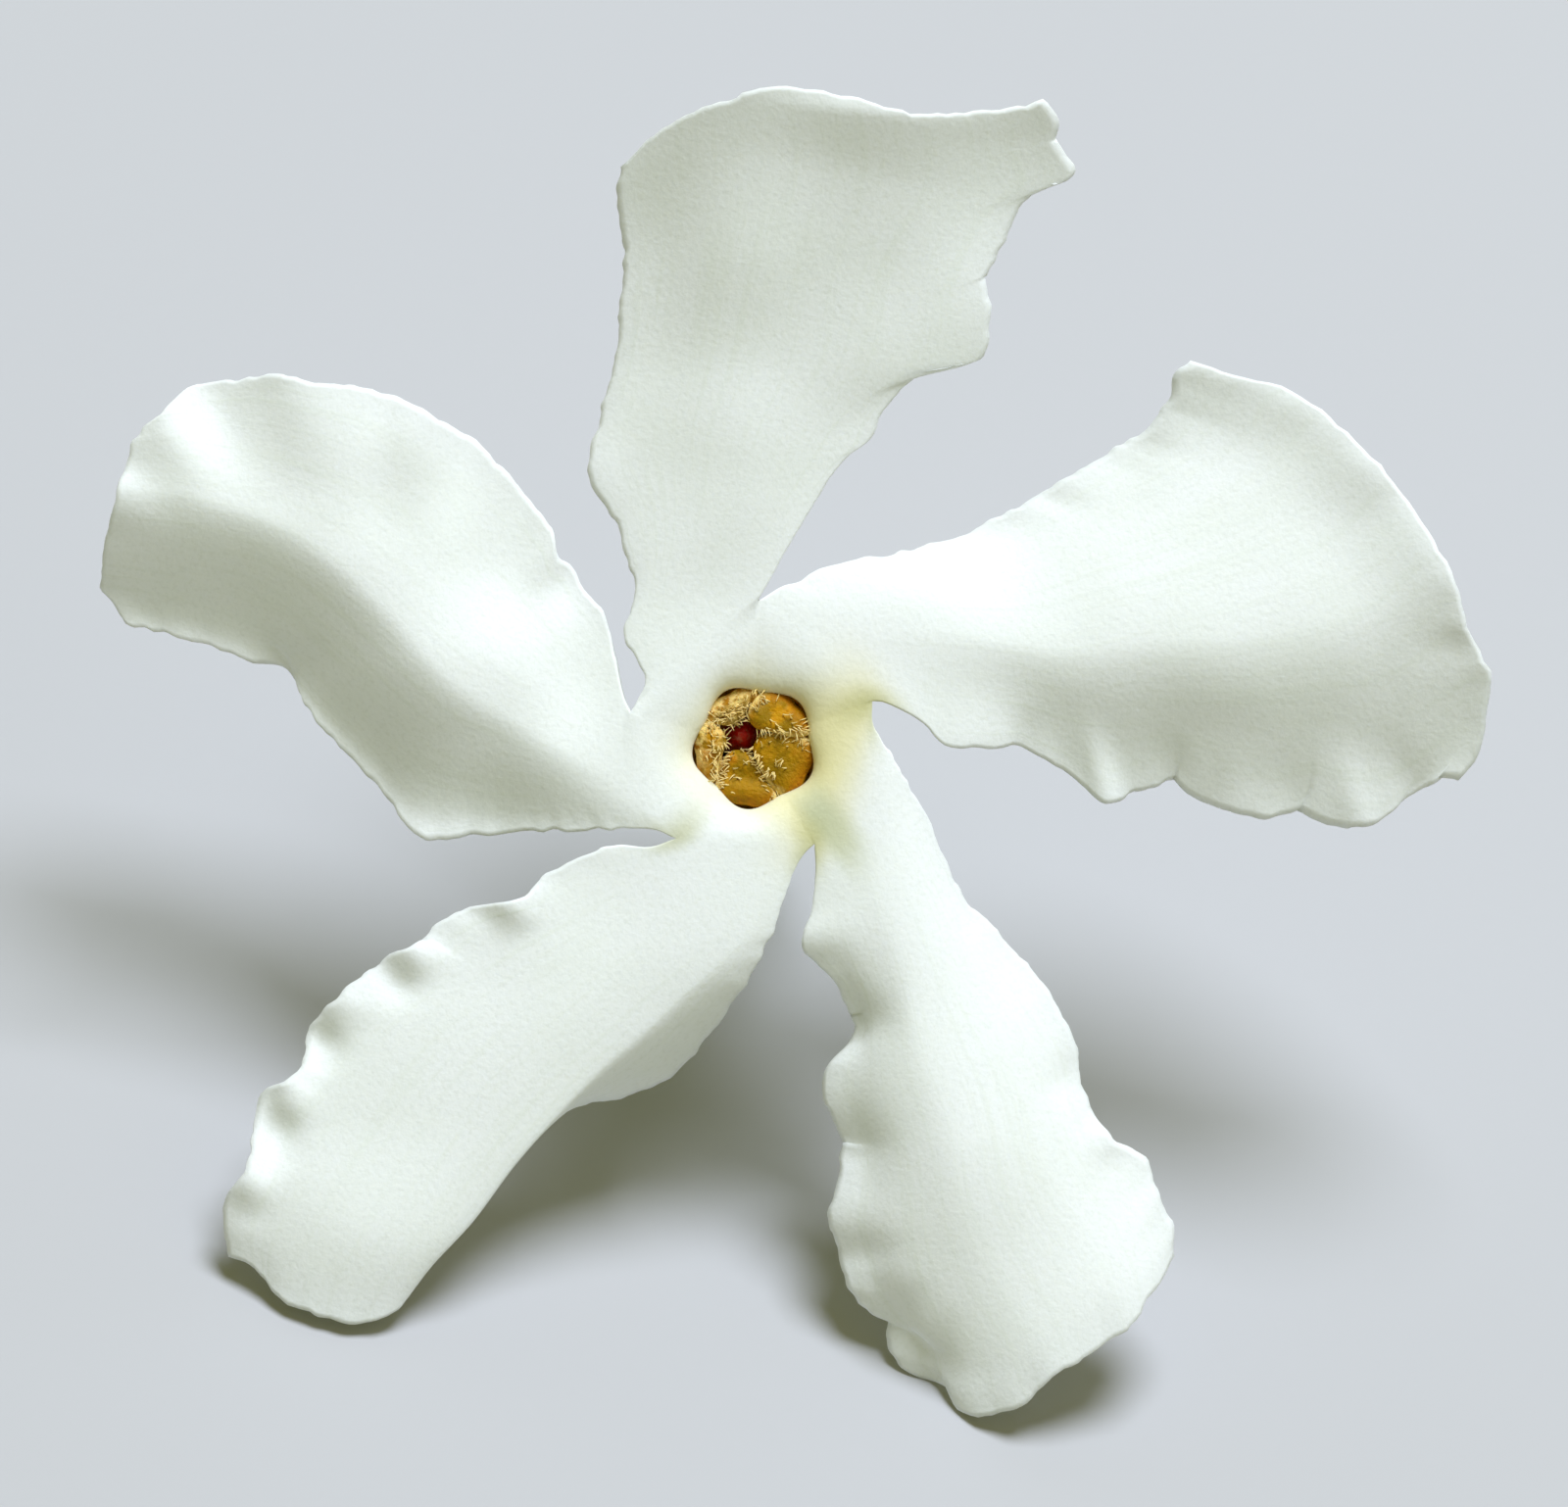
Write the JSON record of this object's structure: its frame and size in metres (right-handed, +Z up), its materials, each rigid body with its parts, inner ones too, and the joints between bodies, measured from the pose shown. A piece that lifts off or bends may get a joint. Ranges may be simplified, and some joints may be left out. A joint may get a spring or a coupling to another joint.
{
  "type": "star jasmine flower",
  "caption": "Single white star jasmine flower with twisted pinwheel lobes on a slender tube, picked with its stalk and lying face up.",
  "frame": {"origin": "on the resting surface, under the middle of the flower's bounding box", "axes": "+Z up from the surface, -Y the way the flower's face leans, +X to the right as seen by someone looking into the face"},
  "size_m": [0.025, 0.0174, 0.0181],
  "materials": {
    "petal": "satin white petal tissue",
    "stamen": "matt amber anthers with pale hairs",
    "pistil": "dark red, slightly moist",
    "nectary": "moist yellow-green",
    "sepal": "matt green leaf tissue",
    "stalk": "matt green stalk"
  },
  "bodies": {
    "root": {"corolla": "petal", "stamen_1": "stamen", "stamen_2": "stamen", "stamen_3": "stamen", "stamen_4": "stamen", "stamen_5": "stamen", "pistil": "pistil", "nectary_ring": "nectary", "sepal_1": "sepal", "sepal_2": "sepal", "sepal_3": "sepal", "sepal_4": "sepal", "sepal_5": "sepal", "stalk": "stalk"}
  },
  "joints": []
}
